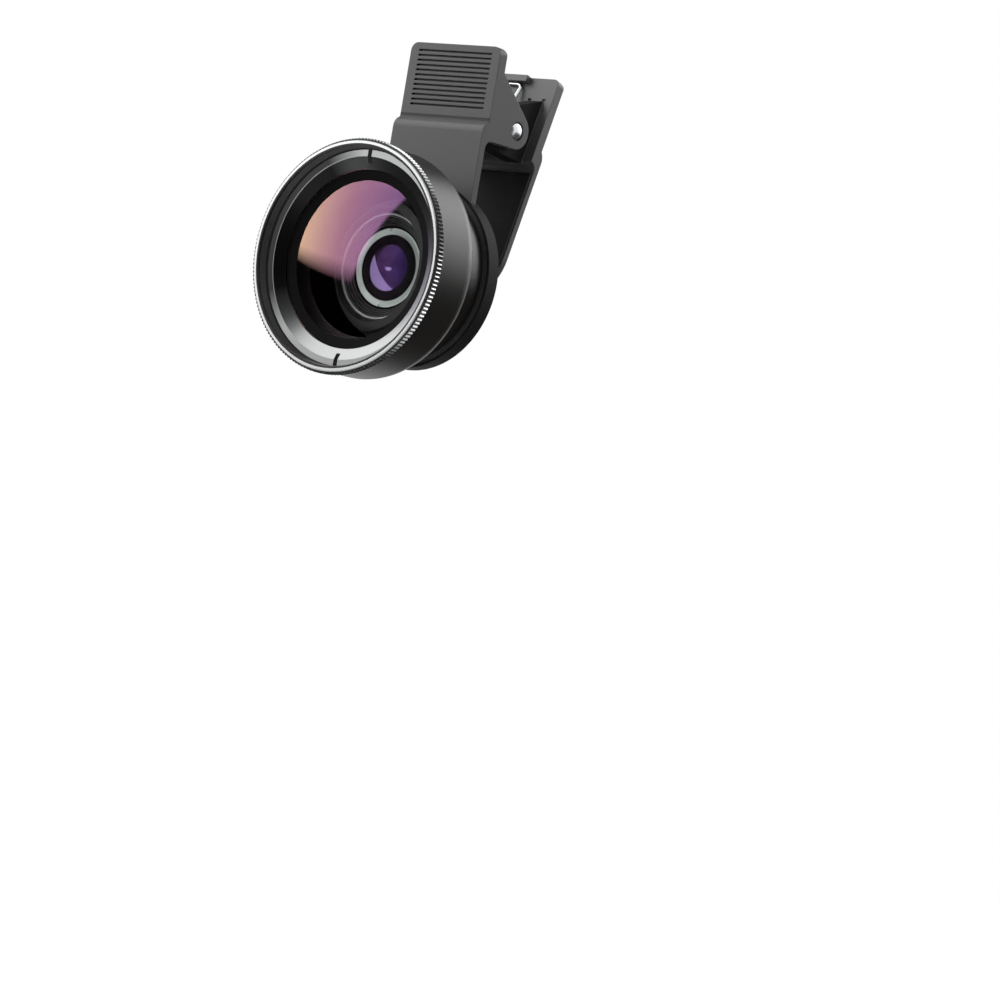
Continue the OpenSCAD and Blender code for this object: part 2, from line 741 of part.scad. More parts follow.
// Bevelled ring that keeps the rear glasses, with two spanner slots
module rear_retaining_ring() {
    color(satin_metal)
        difference() {
            turned([[bezel_in, bezel_back], [bezel_r, bezel_back],
                [bezel_r, bezel_front], [bezel_r - small, bezel_front],
                [bezel_in, bezel_back + small]]);
            spanner_slots(bezel_r - bezel_slot[0], bezel_r + cut, bezel_front, bezel_slot[1]);
        }
}
// Black stop under the bevelled ring, over the crown glass; it leaves the clear opening
module cell_spacer() {
    color(black_rubber)
        turned([[spacer_in, crown_front - sag(crown_curve, spacer_in) + fit],
            [rear_glass_r, crown_rim + fit], [bezel_r, crown_rim + fit],
            [bezel_r, bezel_back - fit], [spacer_in, bezel_back - fit]]);
}
module crown_glass() {
    color(clear_glass)
        intersection() {
            round_bar(rear_glass_r, flint_back, crown_front + cut);
            ball(crown_curve, crown_front - crown_curve);
            ball(cement_curve, cement_z + cement + cement_curve);
        }
}
module flint_glass() {
    color(clear_glass)
        difference() {
            round_bar(rear_glass_r, flint_back, flint_back + flint_edge);
            ball(cement_curve, cement_z + cement_curve);
        }
}

front_arm();
ring_pad();
hinge_pin();
torsion_spring();
rear_arm();
jaw_pad();
macro_barrel();
macro_glass();
macro_retaining_ring();
wide_barrel();
knurled_rim();
front_retaining_ring();
front_seat_ring();
front_glass();
light_baffle();
rear_cell();
rear_retaining_ring();
cell_spacer();
crown_glass();
flint_glass();
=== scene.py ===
# %% [markdown]
# # A clip-on lens, dressed for its picture
# A spring clip holds two lenses, one screwed on the other: a small macro lens and a flared
# wide-angle lens. The construction model gives the frame: each of its pieces is already in
# place, in metres, with +Z up and the glass looking along -Y. Here the pieces get their finish,
# and those that need a finer form get a new mesh that stands for them.

# %% Load the frame
import bmesh
import bpy
import math
from mathutils import Matrix, Vector


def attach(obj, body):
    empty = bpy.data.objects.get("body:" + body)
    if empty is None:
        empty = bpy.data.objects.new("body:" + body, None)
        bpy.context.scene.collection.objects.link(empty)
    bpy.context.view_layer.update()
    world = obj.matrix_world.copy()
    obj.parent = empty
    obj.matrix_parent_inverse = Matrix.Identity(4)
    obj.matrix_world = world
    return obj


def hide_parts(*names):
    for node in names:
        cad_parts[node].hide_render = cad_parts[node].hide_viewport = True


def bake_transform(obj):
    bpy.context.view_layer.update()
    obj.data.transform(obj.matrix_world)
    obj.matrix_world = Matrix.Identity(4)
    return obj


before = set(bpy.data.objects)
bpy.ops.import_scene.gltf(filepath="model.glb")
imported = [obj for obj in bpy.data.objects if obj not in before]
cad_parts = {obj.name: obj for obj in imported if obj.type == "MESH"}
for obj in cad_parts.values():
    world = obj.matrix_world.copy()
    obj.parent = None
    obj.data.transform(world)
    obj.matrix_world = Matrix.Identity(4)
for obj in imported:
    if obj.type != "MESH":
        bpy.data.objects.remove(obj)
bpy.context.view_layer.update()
MM = 0.001
print("pieces in the frame:", len(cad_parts))

# %% [markdown]
# ## Directions in the studio
# Camera, lamps and screens all stand round the lens, so their places are easiest to give as two
# angles, as on a compass: an azimuth, where 0 is in front of the glass, and an elevation.


# %% Directions
def direction(azimuth, elevation):
    """Unit vector from the lens towards a place in the studio; both angles in degrees."""
    azimuth, elevation = math.radians(azimuth), math.radians(elevation)
    return Vector((math.sin(azimuth) * math.cos(elevation),
                   -math.cos(azimuth) * math.cos(elevation), math.sin(elevation)))


print("in front of the glass:", list(direction(0, 0)))

# %% [markdown]
# ## Camera
# The picture is taken with a long lens from the right and a little below, and the camera is
# rolled, so that the clip leans to the left. A tracking constraint could aim it, but it can't
# roll, so the three axes of the camera are worked out and go into its matrix. The numbers come
# from fitting the round edges of the barrel. The target lands in the middle of the picture.

# %% Camera
AZIMUTH, ELEVATION, ROLL = 38.0, -2.5187, math.radians(9.404)
TARGET = Vector((31.225, 0, -46.5738)) * MM
DISTANCE = 1087.4 * MM

camera = bpy.data.objects.new("camera", bpy.data.cameras.new("camera"))
camera.data.lens, camera.data.sensor_width = 180.909, 36.0
camera.data.clip_start, camera.data.clip_end = 0.05, 20
back = direction(AZIMUTH, ELEVATION)
right = Vector((0, 0, 1)).cross(back).normalized()
up = back.cross(right)
rolled_right = right * math.cos(ROLL) + up * math.sin(ROLL)
rolled_up = up * math.cos(ROLL) - right * math.sin(ROLL)
axes = Matrix((rolled_right, rolled_up, back)).transposed().to_4x4()
camera.matrix_world = Matrix.Translation(TARGET + back * DISTANCE) @ axes
bpy.context.scene.collection.objects.link(camera)
bpy.context.scene.camera = camera
bpy.context.scene.view_settings.view_transform = "Standard"
print("camera at", [round(x, 4) for x in camera.location])

# %% [markdown]
# ## Shader maths
# A finish is a tree of nodes, and each node works out a value at every spot of the surface.
# Nodes could be placed and linked one by one, but a longer sum is hard to read that way. Wire
# wraps the output of a node and gives it Python's operators, so that a sum of sockets reads
# like any other sum, and each operator adds the Math node that does it.


# %% Sockets with operators
class Wire:
    """An output socket with Python's operators; each operator adds a Math node."""

    def __init__(self, finish, socket):
        self.finish, self.socket = finish, socket

    def maths(self, operation, *values):
        return self.finish.node("Math", {"operation": operation}, list(values))

    def __add__(self, other):
        return self.maths("ADD", self, other)

    def __sub__(self, other):
        return self.maths("SUBTRACT", self, other)

    def __rsub__(self, other):
        return self.maths("SUBTRACT", other, self)

    def __mul__(self, other):
        return self.maths("MULTIPLY", self, other)

    def __truediv__(self, other):
        return self.maths("DIVIDE", self, other)

    def __pow__(self, other):
        return self.maths("POWER", self, other)

    __radd__, __rmul__ = __add__, __mul__

    def above(self, other):
        return self.maths("GREATER_THAN", self, other)

    def below(self, other):
        return self.maths("LESS_THAN", self, other)

    def within(self, low, high):
        return self.above(low) * self.below(high)

    def nearer(self, other):
        return self.maths("MINIMUM", self, other)

    def farther(self, other):
        return self.maths("MAXIMUM", self, other)

    def size(self):
        return self.maths("ABSOLUTE", self)

    def fraction(self):
        return self.maths("FRACT", self)

    def clipped(self):
        return self.finish.node("Clamp", {}, [self])


print("operators on sockets:", "+ - * / **")

# %% [markdown]
# Finish holds the tree of one material, or of the world. Its one method adds any kind of node:
# what the node does is set first, because some settings change which sockets it has, and then
# its sockets get a value or a link.


# %% Any other node
class Finish:
    """The node tree of a material or world."""

    def __init__(self, block):
        block.use_nodes = True
        self.block, self.tree = block, block.node_tree
        self.tree.nodes.clear()

    def node(self, kind, settings, inputs, output=0):
        """Adds a node, sets what settings names, links or sets its inputs, gives an output."""
        node = self.tree.nodes.new("ShaderNode" + kind)
        for key, value in settings.items():
            if key == "stops":
                elements = node.color_ramp.elements
                while len(elements) < len(value):
                    elements.new(1.0)
                for element, (position, colour) in zip(elements, value):
                    element.position, element.color = position, (*colour[:3], 1)
            else:
                setattr(node, key, value)
        for key, value in inputs.items() if isinstance(inputs, dict) else enumerate(inputs):
            if isinstance(value, Wire):
                self.tree.links.new(value.socket, node.inputs[key])
            elif value is not None:
                node.inputs[key].default_value = value
        return Wire(self, node.outputs[output]) if len(node.outputs) else None

    def finished(self, shader, output="OutputMaterial"):
        self.node(output, {}, [shader])
        print(self.block.name, "nodes:", len(self.tree.nodes))
        return self.block


def new_finish(name):
    return Finish(bpy.data.materials.new(name))


print("a finish has one method for nodes:", Finish.node.__name__)

# %% [markdown]
# ## World
# The backdrop is white wherever a ray of the camera meets it, and so it is in metal and glass.
# As a lamp it is much dimmer, or the black plastic would look grey. Light Path tells both kinds
# of ray apart.


# %% World
def seen_directly(paint):
    """1 for rays of the camera, and for those that metal mirrors or glass lets through."""
    rays = paint.node("LightPath", {}, {}).socket.node.outputs
    seen = [Wire(paint, rays["Is %s Ray" % kind]) for kind in ("Camera", "Glossy", "Transmission")]
    return seen[0].farther(seen[1]).farther(seen[2])


WORLD_LIGHT = 0.24
WHITE = (1, 1, 1, 1)
bpy.context.scene.world = bpy.data.worlds.new("studio")
air = Finish(bpy.context.scene.world)
glow = WORLD_LIGHT + (1 - WORLD_LIGHT) * seen_directly(air)
air.finished(air.node("Background", {}, {"Color": WHITE, "Strength": glow}), "OutputWorld")

# %% [markdown]
# ## Floor
# The floor lies below the object, which is held by its clip and not set down. It could be
# lifted to white by more light, but that would bleach the object too. So it glows, for the
# camera alone, and its matt paint still takes the object's shadow. All the cards of the studio
# are made as the floor is: a grid of one face, which a matrix stretches to its two sides.


# %% Floor
def new_object(name, mesh):
    data = bpy.data.meshes.new(name)
    mesh.to_mesh(data)
    mesh.free()
    thing = bpy.data.objects.new(name, data)
    bpy.context.scene.collection.objects.link(thing)
    return thing


def flat_card(name, middle, across, upward):
    """A flat card of the studio; across and upward are its whole sides."""
    mesh = bmesh.new()
    sides = Matrix((across, upward, across.cross(upward))).transposed().to_4x4()
    bmesh.ops.create_grid(mesh, x_segments=1, y_segments=1, size=0.5,
                          matrix=Matrix.Translation(middle) @ sides)
    card = new_object(name, mesh)
    return card


FLOOR_Z = -180 * MM
floor = flat_card("floor", Vector((0, 0, FLOOR_Z)), Vector((6, 0, 0)), Vector((0, 6, 0)))
floor.visible_glossy = False
paint = new_finish("pale_floor")
matt = paint.node("BsdfPrincipled", {}, {"Base Color": (0.8, 0.8, 0.8, 1), "Roughness": 0.9})
glow = paint.node("Emission", {}, {"Color": WHITE, "Strength": 0.9})
both = paint.node("AddShader", {}, [matt, glow])
floor.data.materials.append(
    paint.finished(paint.node("MixShader", {}, [seen_directly(paint), matt, both])))

# %% [markdown]
# ## Where the softboxes stand
# The front glass is a dome that mirrors half the studio, and what it shows first is the edge of
# a softbox. Trying places until the edge looks right takes long. It is quicker to trace a few
# spots of that edge back to the directions which the dome mirrors there, and to build the card
# from them: one corner, and a place on each of the two edges that leave it.

# %% A card from mirrored directions
GLASS = Vector((0, -24, 0)) * MM


def spread(facing, corner, beside, above, distance):
    """Corner, and the directions of both edges, of a flat card that looks at the glass.

    All four places are given as (azimuth, elevation) in degrees, seen from the glass: where
    the middle faces, one corner, and two places on the edges that leave that corner.
    """
    normal = direction(*facing)
    views = [direction(*view) for view in (corner, beside, above)]
    points = [view * (distance / view.dot(normal)) for view in views]
    across = (points[1] - points[0]).normalized()
    upward = points[2] - points[0]
    upward = (upward - across * upward.dot(across)).normalized()
    return GLASS + points[0], across, upward


MAIN_CARD = spread((-60, 22), (-38, -5), (-76, 3), (-21, 31), 0.6)
REAR_CARD = spread((160, 28), (181, 7), (138, 7), (181, 50), 0.7)
print("corner of the main softbox:", [round(x, 3) for x in MAIN_CARD[0]])

# %% [markdown]
# ## Softboxes
# A softbox is a glowing card whose edges fade out, as cloth over a frame does. An area lamp
# gives the same light but has a hard edge, and that edge would show in the glass. The fade is
# measured along the card's two sides. The main softbox stands at the front left. The rear one
# is seen by mirrors alone, and draws the long highlight along the barrel.


# %% Softboxes
def along(paint, axis, start):
    """How far each spot lies from start along an axis, in metres."""
    away = paint.node("VectorMath", {"operation": "SUBTRACT"},
                      [paint.node("TexCoord", {}, {}, "Object"), tuple(start)])
    return paint.node("VectorMath", {"operation": "DOT_PRODUCT"}, [away, tuple(axis)], "Value")


SIDE_FADE, LOW_FADE, LOW_GAIN = 0.04, 0.14, 0.11


def softbox(name, box, width, height, radiance):
    """A glowing card with soft edges; its radiance is the brightness that a mirror shows."""
    corner, across, upward = box
    card = flat_card(name, corner + across * width / 2 + upward * height / 2,
                     across * width, upward * height)
    card.visible_camera = False
    glow = new_finish(name)
    beside = along(glow, across, corner) / width
    above = along(glow, upward, corner) / height
    sides = (beside.nearer(1 - beside) / SIDE_FADE).clipped()
    ends = (above.nearer(1 - above) / (LOW_FADE - LOW_GAIN * beside)).clipped()
    card.data.materials.append(glow.finished(
        glow.node("Emission", {}, {"Color": sides * ends, "Strength": radiance})))
    return card


softbox("main_softbox", MAIN_CARD, 0.72, 0.72, 3.3)
softbox("rear_softbox", REAR_CARD, 0.52, 0.5, 3.9).visible_diffuse = False

# %% [markdown]
# ## Dark screens
# Polished parts look polished because they mirror something dark beside the bright softbox.
# Photographers put up black cards for this. These cards are met by mirror rays only, so that
# they take no light from the object and throw no shadow.


# %% Dark screens
def dark_screen(name, facing, distance, width, height, tone):
    middle = direction(*facing) * distance
    turn = middle.to_track_quat("Z", "Y").to_matrix()
    screen = flat_card(name, middle, turn @ Vector((width, 0, 0)), turn @ Vector((0, height, 0)))
    paint = new_finish(name)
    screen.data.materials.append(paint.finished(
        paint.node("Emission", {}, {"Color": (tone, tone, tone, 1), "Strength": 1.0})))
    screen.visible_camera = screen.visible_diffuse = False
    screen.visible_shadow = screen.visible_transmission = False


dark_screen("dark_screen", (-60, 18), 1.0, 3.4, 3.0, 0.004)
dark_screen("low_screen", (140, -38), 0.8, 1.7, 1.2, 0.06)
dark_screen("front_screen", (14, 2), 1.3, 0.55, 1.1, 0.01)
dark_screen("side_screen", (62, 0), 1.6, 0.9, 2.4, 0.02)

# %% [markdown]
# ## What the finishes share
# Patterns read Object coordinates, in metres: they stay on the piece when a joint moves it. The
# lenses are round about the Y axis, so the distance from that axis tells their rings apart.
# Colours are written as they show on screen, and made linear, which is what a shader takes.


# %% Places and colours
def places(paint):
    """The x, y and z of each spot, in metres."""
    place = paint.node("TexCoord", {}, {}, "Object")
    parts = paint.node("SeparateXYZ", {}, [place]).socket.node
    return [Wire(paint, socket) for socket in parts.outputs]


def axis_distance(paint):
    """Distance of each spot from the optical axis."""
    x, y, z = places(paint)
    return (x * x + z * z) ** 0.5


def rgb(red, green, blue):
    """A colour given as it shows on screen, 0 to 255, made linear."""
    linear = [(c / 255 / 12.92) if c <= 10 else ((c / 255 + 0.055) / 1.055) ** 2.4
              for c in (red, green, blue)]
    return (*linear, 1.0)


def blend(paint, share, first, second):
    """Mixes two colours; share 0 is the first."""
    return paint.node("Mix", {"data_type": "RGBA"}, {0: share, 6: first, 7: second}, 2)


print("middle grey is", round(rgb(128, 128, 128)[0], 3))

# %% [markdown]
# No real surface is even and no real edge is perfectly sharp. Noise gives grain and cloudy
# patches, and Bump turns it into fine relief. The Bevel node rounds sharp edges in the normal
# alone, by a tenth of a millimetre or two, so that they draw the thin lines of light that make
# a form readable. Bevelled meshes would do it too, with many more faces.


# %% Grain and edges
def noise(paint, size, detail=2.0, roughness=0.5, where=None):
    """Noise whose spots are about size metres wide."""
    where = where or paint.node("TexCoord", {}, {}, "Object")
    return paint.node("TexNoise", {}, {"Vector": where, "Scale": 1 / size,
                                       "Detail": detail, "Roughness": roughness})


def rounded(paint, radius):
    """A normal that rounds sharp edges by a radius."""
    return paint.node("Bevel", {"samples": 4}, {"Radius": radius})


def bump(paint, height, depth, strength, normal=None):
    return paint.node("Bump", {}, {"Strength": strength, "Distance": depth,
                                   "Height": height, "Normal": normal})


def surface(paint, colour, roughness, normal, metallic=0.0, specular=0.5):
    """Ends a finish with the Principled shader."""
    return paint.finished(paint.node("BsdfPrincipled", {}, {
        "Base Color": colour, "Roughness": roughness, "Normal": normal,
        "Metallic": metallic, "Specular IOR Level": specular}))


print("grain, edges and surface:", noise.__name__, rounded.__name__, surface.__name__)

# %% [markdown]
# ## Painted shade and light on the clip
# The grooves of the grip are painted nearly black, as painted shade in the recesses, and the
# inner cheeks are painted dark, as painted shade in the cavity, and are rougher. The rear grip is
# painted paler than the front one, more so towards its top, as a painted highlight, and the fold
# of the front arm is painted dark, as painted shade in the crease. Each could be a piece of its
# own with its own material, but they are one moulding. So masks pick these places by their
# coordinates.
# The rear arm leans back, and its places are measured along that lean, from the hinge pin.

# %% Masks on the clip
PIN = Vector((0, 8.3, 35.1)) * MM
LEAN = math.radians(15.5)


def clip_painted_light_masks(paint):
    """1 in the grooves, on the cheeks, on the rear grip, and in the fold of the front arm: painted
    shade in all of them but the rear grip, which gets a painted highlight.
    """
    x, y, z = places(paint)
    behind = along(paint, (0, math.cos(LEAN), -math.sin(LEAN)), PIN)
    hook = along(paint, (0, math.sin(LEAN), math.cos(LEAN)), PIN).above(15.25 * MM)
    painted_groove_shade = (x.size().below(10.45 * MM) * y.within(-1.98 * MM, -1.45 * MM)
              * z.within(36 * MM, 51 * MM))
    rough_cheek_painted_shade = (behind.below(7.5 * MM) * y.above(2.6 * MM) * x.size().below(10.6 * MM)
             * z.above(29 * MM) * (1 - hook))
    grip_painted_highlight = (behind.above(7.6 * MM) + hook).clipped() * ((z - 32 * MM) / (9 * MM)).clipped()
    fold_painted_shade = z.within(35.0 * MM, 36.1 * MM) * y.within(-2.7 * MM, -1.9 * MM)
    return painted_groove_shade, rough_cheek_painted_shade, grip_painted_highlight, fold_painted_shade


print("the rear arm leans by", round(math.degrees(LEAN), 1), "degrees")

# %% [markdown]
# ## Moulded plastic
# The clip is moulded in dark plastic with a fine satin grain, a little uneven in tone. One noise
# of a fifth of a millimetre is the grain, and another of six millimetres the unevenness.

# %% Moulded plastic
paint = new_finish("moulded_plastic")
painted_groove_shade, rough_cheek_painted_shade, grip_painted_highlight, fold_painted_shade = clip_painted_light_masks(paint)
patches = noise(paint, 6 * MM)
tone = blend(paint, patches, rgb(92, 92, 93), rgb(98, 98, 99))
# Painted highlight: the rear grip is made paler. Painted shade: the fold, the cheeks and the
# grooves are made dark.
tone = blend(paint, grip_painted_highlight, tone, rgb(118, 118, 119))
tone = blend(paint, fold_painted_shade, tone, rgb(44, 44, 45))
tone = blend(paint, rough_cheek_painted_shade, tone, rgb(22, 22, 23))
tone = blend(paint, painted_groove_shade, tone, rgb(6, 6, 6))
grain = noise(paint, 0.22 * MM, 3)
plastic = surface(paint, tone, 0.34 + patches * 0.08 + rough_cheek_painted_shade * 0.4,
                  bump(paint, grain, 0.012 * MM, 0.5, rounded(paint, 0.22 * MM)), specular=0.26)

# %% [markdown]
# ## Soft rubber
# The pads are of black rubber, dull and a little dusty. A ramp turns a noise into specks of
# paler dust, and a rough grain takes the shine away.

# %% Soft rubber
paint = new_finish("soft_rubber")
stops = [(0.35, rgb(10, 10, 10)), (0.8, rgb(24, 24, 25))]
dust = paint.node("ValToRGB", {"stops": stops}, [noise(paint, 0.5 * MM)])
grain = noise(paint, 0.15 * MM, 4, 0.7)
rubber = surface(paint, dust, 0.7,
                 bump(paint, grain, 0.03 * MM, 0.6, rounded(paint, 0.15 * MM)), specular=0.25)

# %% [markdown]
# ## Plated steel
# Pin and spring are of steel wire, plated and barrelled, which leaves them bright with soft
# marks. The same noise varies their roughness and their relief, as the marks do.

# %% Plated steel
paint = new_finish("plated_steel")
marks = noise(paint, 0.4 * MM, 3)
steel = surface(paint, rgb(226, 228, 230), 0.2 + marks * 0.14,
                bump(paint, marks, 0.004 * MM, 0.4), metallic=1.0)

# %% [markdown]
# ## Turned metal
# The tool of a lathe leaves fine rings round the axis. A noise that reads only the distance
# from the optical axis, and the place along it, gives such rings on walls and faces alike.
# Anisotropic shading would stretch the highlights in the same way, but it needs a tangent.


# %% Turned metal
def turning_marks(paint):
    """Fine rings round the optical axis."""
    y = places(paint)[1]
    lines = paint.node("CombineXYZ", {}, [axis_distance(paint), y, 0.0])
    return noise(paint, 0.06 * MM, 2, 0.6, lines)


def turned_metal(name, colour, metallic, roughness):
    paint = new_finish(name)
    marks = turning_marks(paint)
    tone = blend(paint, marks, (*(c * 0.88 for c in colour[:3]), 1), colour)
    cloud = noise(paint, 4 * MM)
    return surface(paint, tone, roughness - 0.04 + 0.08 * cloud,
                   bump(paint, marks, 0.002 * MM, 0.6, rounded(paint, 0.1 * MM)), metallic)


anodised = turned_metal("black_anodised", rgb(30, 27, 25), 0.0, 0.3)
dark_cell = turned_metal("dark_cell", rgb(212, 222, 217), 1.0, 0.5)

# %% [markdown]
# ## Black barrel
# The wide barrel is glossy black outside and dull black inside its filter thread, where light
# must not bounce about. Both are one piece, and its distance from the axis tells them apart.

# %% Black barrel
paint = new_finish("barrel_black")
marks = turning_marks(paint)
inside = axis_distance(paint).below(24.3 * MM)
tone = blend(paint, inside, rgb(30, 27, 25), rgb(7, 7, 7))
barrel_black = surface(paint, tone, 0.36 + inside * 0.4 + marks * 0.05,
                       bump(paint, marks, 0.002 * MM, 0.5, rounded(paint, 0.1 * MM)))

# %% [markdown]
# ## Bright rim
# The knurled rim is of bare metal, turned bright after the black coating. The coating is left
# down where the black thread starts, so that band is dark. The gaps between its teeth are
# painted dark too, as painted shade.

# %% Bright rim
paint = new_finish("bright_rim")
away, y = axis_distance(paint), places(paint)[1]
# Painted shade: the gaps between the teeth are made nearly black; inside 24.7 mm is the black
# coating.
tooth_gap_painted_shade = away.within(25.2 * MM, 25.78 * MM) * y.above(-28.0 * MM)
painted_shade_and_coating = (tooth_gap_painted_shade + away.below(24.7 * MM)).clipped()
marks = turning_marks(paint)
tone = blend(paint, marks, rgb(160, 161, 162), rgb(174, 175, 176))
bright_rim = surface(paint, blend(paint, painted_shade_and_coating, tone, rgb(14, 14, 14)),
                     0.22 + painted_shade_and_coating * 0.3 + marks * 0.05,
                     bump(paint, marks, 0.002 * MM, 0.6, rounded(paint, 0.05 * MM)), 1 - painted_shade_and_coating)

# %% [markdown]
# ## Satin ring
# The ring that keeps the front glass is of satin metal, with two slots for a spanner. A dark
# sector is painted on it at its upper left, as painted shade: it stands for the dark sector that
# a turned face shows between two light ones, and it doesn't follow the light. A painted highlight
# line is left where its flat meets its bevel. The sector fades in with the angle round the axis.

# %% Satin ring
paint = new_finish("satin_ring")
x, y, z = places(paint)
away = axis_distance(paint)
slot = x.size().below(0.55 * MM) * away.above(20.95 * MM)
# Painted shade sector at the upper left, with a painted highlight line where the flat meets the
# bevel.
painted_shade_sector = (((z * 0.34 - x * 0.94) / away - 0.4) / 0.35).clipped()
painted_highlight_line = (away - 22.35 * MM).size().below(0.12 * MM)
marks = turning_marks(paint)
tone = blend(paint, marks, rgb(126, 127, 127), rgb(136, 137, 137))
tone = blend(paint, painted_shade_sector * (1 - 0.8 * painted_highlight_line), tone, rgb(40, 40, 41))
satin_ring = surface(paint, blend(paint, slot, tone, rgb(10, 10, 10)),
                     0.26 + slot * 0.4 + marks * 0.04,
                     bump(paint, marks, 0.002 * MM, 0.6, rounded(paint, 0.1 * MM)), 1 - slot)

# %% [markdown]
# ## Stepped black
# The funnel behind the front glass has fine steps that trap stray light. Their edges are painted
# paler, as painted highlights where the steps catch the light, and one edge is bare metal. The
# steps are evenly spaced, so the fraction of the distance from the axis, counted in steps, finds
# the edge of each.

# %% Stepped black
STEP_START, STEP_WIDTH = 10.6 * MM, 0.45 * MM
paint = new_finish("stepped_black")
away = axis_distance(paint)
# Painted highlight on the edge of each step.
step_edge_painted_highlight = ((away - STEP_START) / STEP_WIDTH).fraction().above(0.78) * away.below(12.5 * MM)
bare = away.within(12.72 * MM, 13.0 * MM)
tone = blend(paint, step_edge_painted_highlight, rgb(20, 21, 20), rgb(70, 74, 72))
grain = noise(paint, 0.1 * MM, 3)
stepped_black = surface(paint, blend(paint, bare, tone, rgb(190, 190, 188)), 0.5 + grain * 0.1,
                        bump(paint, grain, 0.01 * MM, 0.5), metallic=bare * 0.6)

# %% [markdown]
# ## Matt black
# The seat of the glass and the parts deep inside are matt black, and must hardly be seen. A
# flat black would look like a hole, so it has a fine grain that catches a little light.

# %% Matt black
paint = new_finish("matt_black")
grain = noise(paint, 0.1 * MM, 3)
matt_black = surface(paint, rgb(7, 7, 7), 0.7 + grain * 0.1,
                     bump(paint, grain, 0.01 * MM, 0.5, rounded(paint, 0.06 * MM)), specular=0.12)

# %% [markdown]
# ## Coated glass
# Bare glass mirrors about four parts in a hundred. A coating tints what it mirrors: peach
# where the glass is met at a slant, then pink, and purple where it is met straight on. The
# Principled shader has no such tint, so the glass is a mix of clear refraction and a tinted
# mirror. Shadow rays pass straight through, so that the lamps light what is inside.


# %% Coated glass
def coated_glass(name, reach, stops, clearness, amount):
    """reach is half the glass's width; stops are the mirror's colours from left to right.

    amount gives the mirror's share, from the finish and from how far across a spot lies.
    """
    paint = new_finish(name)
    across = (places(paint)[0] / (2 * reach) + 0.5).clipped()
    tint = paint.node("ValToRGB", {"stops": stops}, [across])
    mirror = paint.node("BsdfGlossy", {}, {"Color": tint, "Roughness": 0.0})
    clear = paint.node("BsdfRefraction", {}, {"Color": clearness, "Roughness": 0.0, "IOR": 1.5})
    glass = paint.node("MixShader", {}, [amount(paint, across), clear, mirror])
    shadow = paint.node("LightPath", {}, {}, "Is Shadow Ray")
    through = paint.node("BsdfTransparent", {}, {})
    return paint.finished(paint.node("MixShader", {}, [shadow, glass, through]))


REAR_TINT = ((0.1, (0.75, 0.35, 0.70)), (0.9, (0.25, 0.18, 0.80)))
rear_coating = coated_glass("rear_coating", 13 * MM, REAR_TINT, (0.82, 0.78, 0.88, 1),
                            lambda paint, across: 0.03)

# %% [markdown]
# The front glass mirrors more on its domed face than inside, and more at its left edge than at
# its right. A sphere just under the dome tells both faces apart: the dome lies outside it.

# %% Front glass
FRONT_TINT = ((0.08, (0.64, 0.41, 0.27)), (0.4, (0.48, 0.22, 0.32)), (0.8, (0.40, 0.19, 0.50)))
DOME_MIDDLE, DOME_RADIUS = 32.65 * MM, 57.6 * MM
DOME_SHARE, INNER_SHARE = 0.2, 0.012


def front_share(paint, across):
    x, y, z = places(paint)
    outer = ((x * x + z * z + (y - DOME_MIDDLE) ** 2) ** 0.5).above(DOME_RADIUS)
    return INNER_SHARE + outer * ((1.75 - 1.4 * across) * DOME_SHARE - INNER_SHARE)


front_coating = coated_glass("front_coating", 21.4 * MM, FRONT_TINT, (0.97, 0.97, 0.97, 1),
                             front_share)

# %% [markdown]
# ## Which piece has which finish
# Pieces of the construction model whose form is right are kept and only get their finish. The
# barrel's front rings stand round the glass like a wall, and it would mirror them as a dark
# arc. The rays that mirrors send out pass them, because the real glass lies clear of that arc.

# %% Give the pieces their finish
PIECES = {
    "front_arm": plastic, "rear_arm": plastic, "ring_pad": rubber, "jaw_pad": rubber,
    "hinge_pin": steel, "torsion_spring": steel,
    "macro_barrel": anodised, "macro_retaining_ring": anodised,
    "wide_barrel": barrel_black, "knurled_rim": bright_rim,
    "front_retaining_ring": satin_ring, "front_seat_ring": matt_black,
    "light_baffle": stepped_black, "rear_cell": matt_black,
    "rear_retaining_ring": dark_cell, "cell_spacer": matt_black,
    "front_glass": front_coating, "macro_glass": rear_coating,
    "crown_glass": rear_coating, "flint_glass": rear_coating,
}
for node, finish in PIECES.items():
    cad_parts[node].data.materials.clear()
    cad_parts[node].data.materials.append(finish)
for node in ("front_retaining_ring", "knurled_rim", "front_seat_ring"):
    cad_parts[node].visible_glossy = False
print("finished:", len(PIECES))

# %% [markdown]
# ## Merged copies
# A construction mesh is loose triangles, and each is shaded flat. To smooth it, its corners
# have to be merged first, and that is done to a copy, because the nodes stay as they are. Then
# edges that turn by less than a given angle are shaded as one surface, and the others stay hard.


# %% A copy with smooth shading
def new_piece(name, mesh, finish):
    piece = new_object(name, mesh)
    piece.data.materials.append(finish)
    print(piece.name, "faces:", len(piece.data.polygons))
    return piece


def merged_copy(node, sharp=180):
    """The node's mesh with its seams merged; edges over sharp degrees stay hard."""
    mesh = bmesh.new()
    mesh.from_mesh(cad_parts[node].data)
    mesh.transform(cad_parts[node].matrix_world)
    bmesh.ops.remove_doubles(mesh, verts=mesh.verts, dist=0.001 * MM)
    for face in mesh.faces:
        face.smooth = True
    for edge in mesh.edges:
        edge.smooth = len(edge.link_faces) == 2 and edge.calc_face_angle() < math.radians(sharp)
    return mesh


# %% [markdown]
# ## Smooth arms and barrel
# The rounded steps of both arms and the barrel's shoulder are many narrow flats. Merged copies
# take their place: edges that turn by less than 22 degrees are smooth, and a weighted normal
# modifier keeps the large flats flat. More faces would do it too, in a heavier mesh.

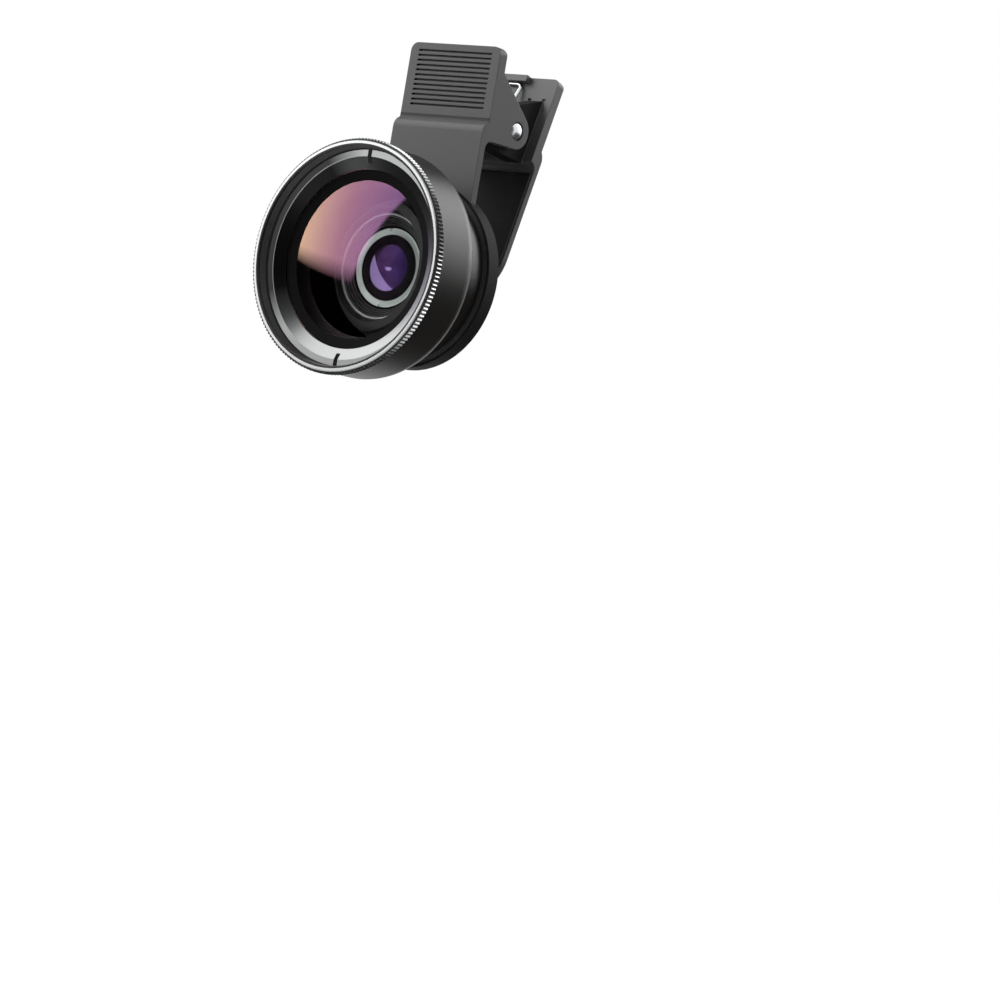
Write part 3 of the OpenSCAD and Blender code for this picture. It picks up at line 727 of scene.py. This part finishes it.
# %% Smooth copies
for node, body in (("front_arm", "front_clip"), ("rear_arm", "rear_clip"),
                   ("wide_barrel", "wide_lens")):
    piece = new_piece("smooth_" + node, merged_copy(node, 22), PIECES[node])
    weights = piece.modifiers.new("flat_faces", "WEIGHTED_NORMAL")
    weights.keep_sharp, weights.weight = True, 100
    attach(piece, body)
    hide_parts(node)
bpy.data.objects["smooth_wide_barrel"].visible_glossy = False

# %% [markdown]
# ## Spring
# The spring bends when the jaw opens: its loop follows the rear arm and its legs stay with the
# front arm. Here one merged copy takes the place of the construction piece, and is shaded smooth
# all over.

# %% Spring
spring = new_piece("bent_spring", merged_copy("torsion_spring"), steel)
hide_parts("torsion_spring")
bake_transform(spring)

# %% [markdown]
# ## Filter thread
# The bore in front of the retaining ring has a fine thread, which a filter screws into. A stack
# of rings would look alike from afar, but a thread climbs. So one small tooth outline is spun
# round the optical axis and moved forward a little at each step, which makes a helix. Spinning
# leaves it open at both ends, and they are filled before the normals are turned outwards.

# %% Thread in front of the retaining ring
THREAD_R, THREAD_BACK, THREAD_PITCH, TURNS, STEPS = 24.2 * MM, 25.5 * MM, 0.5 * MM, 4, 120
TOOTH_HALF, TOOTH_DEPTH = 0.2 * MM, 0.22 * MM

mesh = bmesh.new()
outline = [(THREAD_R, TOOTH_HALF), (THREAD_R - TOOTH_DEPTH, 0), (THREAD_R, -TOOTH_HALF)]
corners = [mesh.verts.new((r, y - THREAD_BACK, 0)) for r, y in outline]
edges = [mesh.edges.new(pair) for pair in zip(corners, corners[1:] + corners[:1])]
bmesh.ops.spin(mesh, geom=corners + edges, cent=(0, 0, 0), axis=(0, 1, 0),
               dvec=(0, -THREAD_PITCH / STEPS, 0), angle=math.tau * TURNS,
               steps=STEPS * TURNS, use_merge=False, use_duplicate=False)
ends = [edge for edge in mesh.edges if edge.is_boundary]
bmesh.ops.holes_fill(mesh, edges=ends, sides=3)
bmesh.ops.recalc_face_normals(mesh, faces=mesh.faces)
thread = new_piece("filter_thread", mesh, anodised)
thread.visible_glossy = False
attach(thread, "wide_lens")
